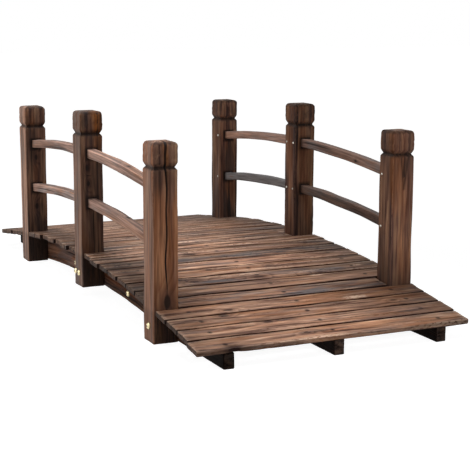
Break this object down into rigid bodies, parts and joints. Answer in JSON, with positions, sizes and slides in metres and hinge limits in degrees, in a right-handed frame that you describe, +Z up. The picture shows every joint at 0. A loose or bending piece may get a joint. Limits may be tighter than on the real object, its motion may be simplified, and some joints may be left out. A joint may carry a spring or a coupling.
{
  "type": "wooden footbridge",
  "caption": "Arched garden footbridge of scorched fir with a plank deck on bowed stringers, capped square posts and bowed rails along both sides.",
  "frame": {"origin": "on the ground, midway along and across the bridge, under the crown of the arch", "axes": "+X along the bridge towards its near ramp, +Y across it to the right side of someone who walks up that ramp, +Z up"},
  "size_m": [1.5128, 0.66, 0.4687],
  "materials": {
    "deck_fir": "carbonised fir, brushed, pinkish brown with orange streaks and grey scorch",
    "post_fir": "carbonised fir, dark red brown with black char along the grain",
    "rail_fir": "carbonised fir, brown with dark streaks",
    "stringer_fir": "carbonised fir, dark brown, sawn",
    "bolt_plating": "yellow plated bolt heads and washers",
    "screw_steel": "bright screw heads"
  },
  "bodies": {
    "root": {"deck_plank_01": "deck_fir", "deck_plank_02": "deck_fir", "deck_plank_03": "deck_fir", "deck_plank_04": "deck_fir", "deck_plank_05": "deck_fir", "deck_plank_06": "deck_fir", "deck_plank_07": "deck_fir", "deck_plank_08": "deck_fir", "deck_plank_09": "deck_fir", "deck_plank_10": "deck_fir", "deck_plank_11": "deck_fir", "deck_plank_12": "deck_fir", "deck_plank_13": "deck_fir", "deck_plank_14": "deck_fir", "deck_plank_15": "deck_fir", "deck_plank_16": "deck_fir", "deck_plank_17": "deck_fir", "deck_plank_18": "deck_fir", "deck_plank_19": "deck_fir", "deck_plank_20": "deck_fir", "deck_plank_21": "deck_fir", "deck_plank_22": "deck_fir", "deck_plank_23": "deck_fir", "deck_plank_24": "deck_fir", "deck_plank_25": "deck_fir", "left_far_post": "post_fir", "left_middle_post": "post_fir", "left_near_post": "post_fir", "right_far_post": "post_fir", "right_middle_post": "post_fir", "right_near_post": "post_fir", "left_far_upper_rail": "rail_fir", "left_far_lower_rail": "rail_fir", "left_near_upper_rail": "rail_fir", "left_near_lower_rail": "rail_fir", "right_far_upper_rail": "rail_fir", "right_far_lower_rail": "rail_fir", "right_near_upper_rail": "rail_fir", "right_near_lower_rail": "rail_fir", "left_stringer": "stringer_fir", "middle_stringer": "stringer_fir", "right_stringer": "stringer_fir", "left_splice_board": "stringer_fir", "middle_splice_board": "stringer_fir", "right_splice_board": "stringer_fir"}
  },
  "joints": []
}
